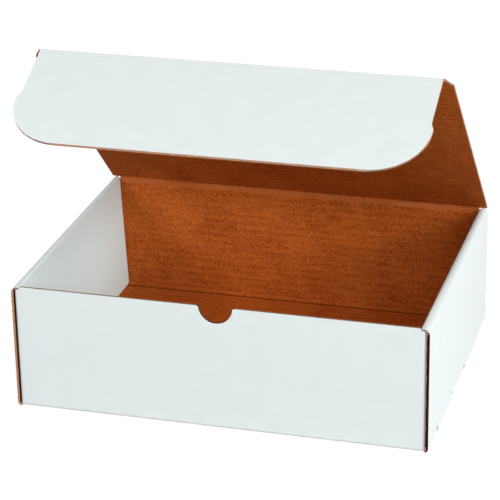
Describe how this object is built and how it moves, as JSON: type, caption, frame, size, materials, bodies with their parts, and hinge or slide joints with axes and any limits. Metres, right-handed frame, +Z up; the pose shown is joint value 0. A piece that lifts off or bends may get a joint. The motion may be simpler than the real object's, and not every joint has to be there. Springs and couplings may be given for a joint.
{
  "type": "corrugated mailer box",
  "caption": "Roll-end mailer box of corrugated board with an open lid, a tuck flap and a thumb notch in the front, white outside and brown inside",
  "frame": {"origin": "middle of the underside of the bottom panel, on the surface that the box stands on", "axes": "+X to the right along the front panel, +Y from the front to the back, where the lid is hinged, +Z up"},
  "size_m": [0.326, 0.2584, 0.2695],
  "materials": {
    "tray_board": "matte",
    "lid_board": "matte",
    "tuck_flap_board": "matte"
  },
  "bodies": {
    "tray": {"tray": "tray_board"},
    "lid": {"lid": "lid_board"},
    "tuck_flap": {"tuck_flap": "tuck_flap_board"}
  },
  "joints": [
    {"name": "lid_hinge", "type": "hinge", "parent": "tray", "child": "lid", "pos_m": [0, 0.11935, 0.10275], "axis": [-1, 0, 0], "range_deg": [-41.5, 135.5]},
    {"name": "tuck_flap_hinge", "type": "hinge", "parent": "lid", "child": "tuck_flap", "pos_m": [0, -0.04919, 0.26837], "axis": [-1, 0, 0], "range_deg": [-23.5, 69.5]}
  ]
}
